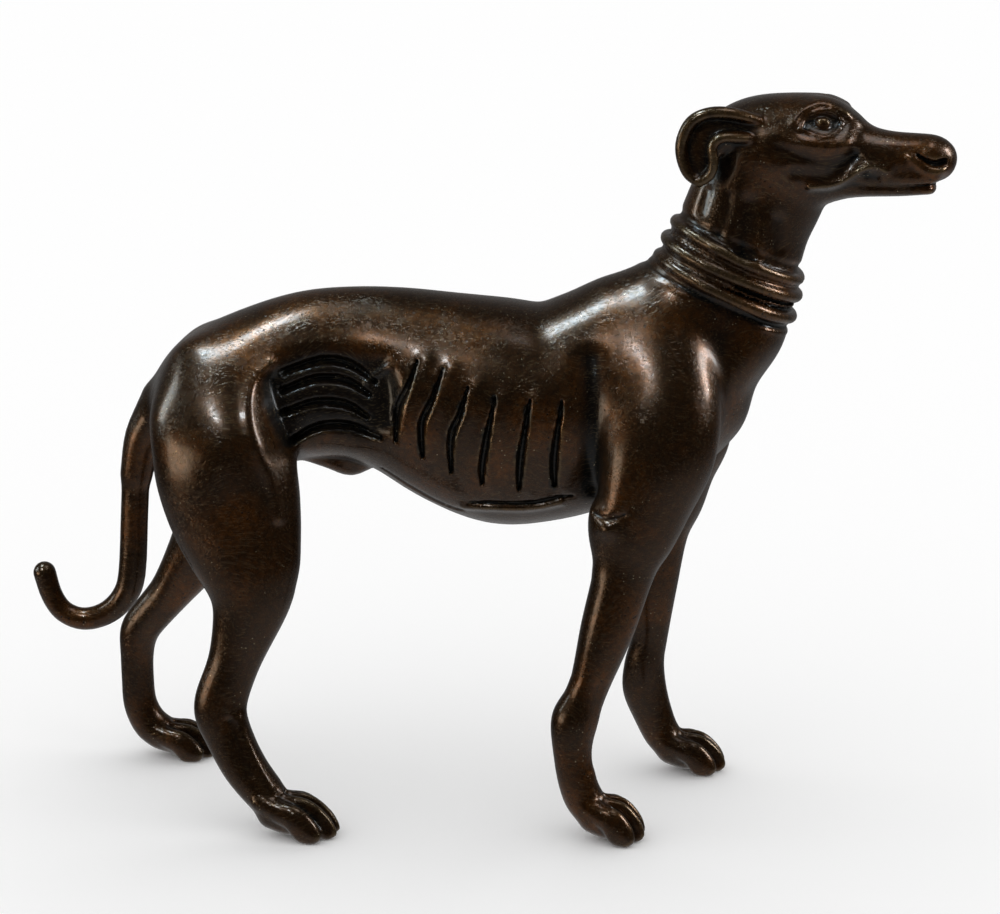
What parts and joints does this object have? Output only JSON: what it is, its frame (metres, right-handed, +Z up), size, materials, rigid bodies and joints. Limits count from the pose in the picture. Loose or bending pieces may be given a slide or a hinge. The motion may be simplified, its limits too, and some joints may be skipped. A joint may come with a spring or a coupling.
{
  "type": "greyhound statue",
  "caption": "Cast bronze statue of a standing greyhound with a ringed collar, a turned head and an upturned tail, resting on its own paws.",
  "frame": {"origin": "on the floor under the centre of the statue's box", "axes": "+X towards the nose, +Y to the dog's left, +Z up"},
  "size_m": [0.1906, 0.0592, 0.152],
  "materials": {
    "patinated_bronze": "cast bronze with a dark brown patina, nearly black in the grooves and rubbed to a golden brown on the collar, toes and ear rims"
  },
  "bodies": {
    "root": {"greyhound": "patinated_bronze"}
  },
  "joints": []
}
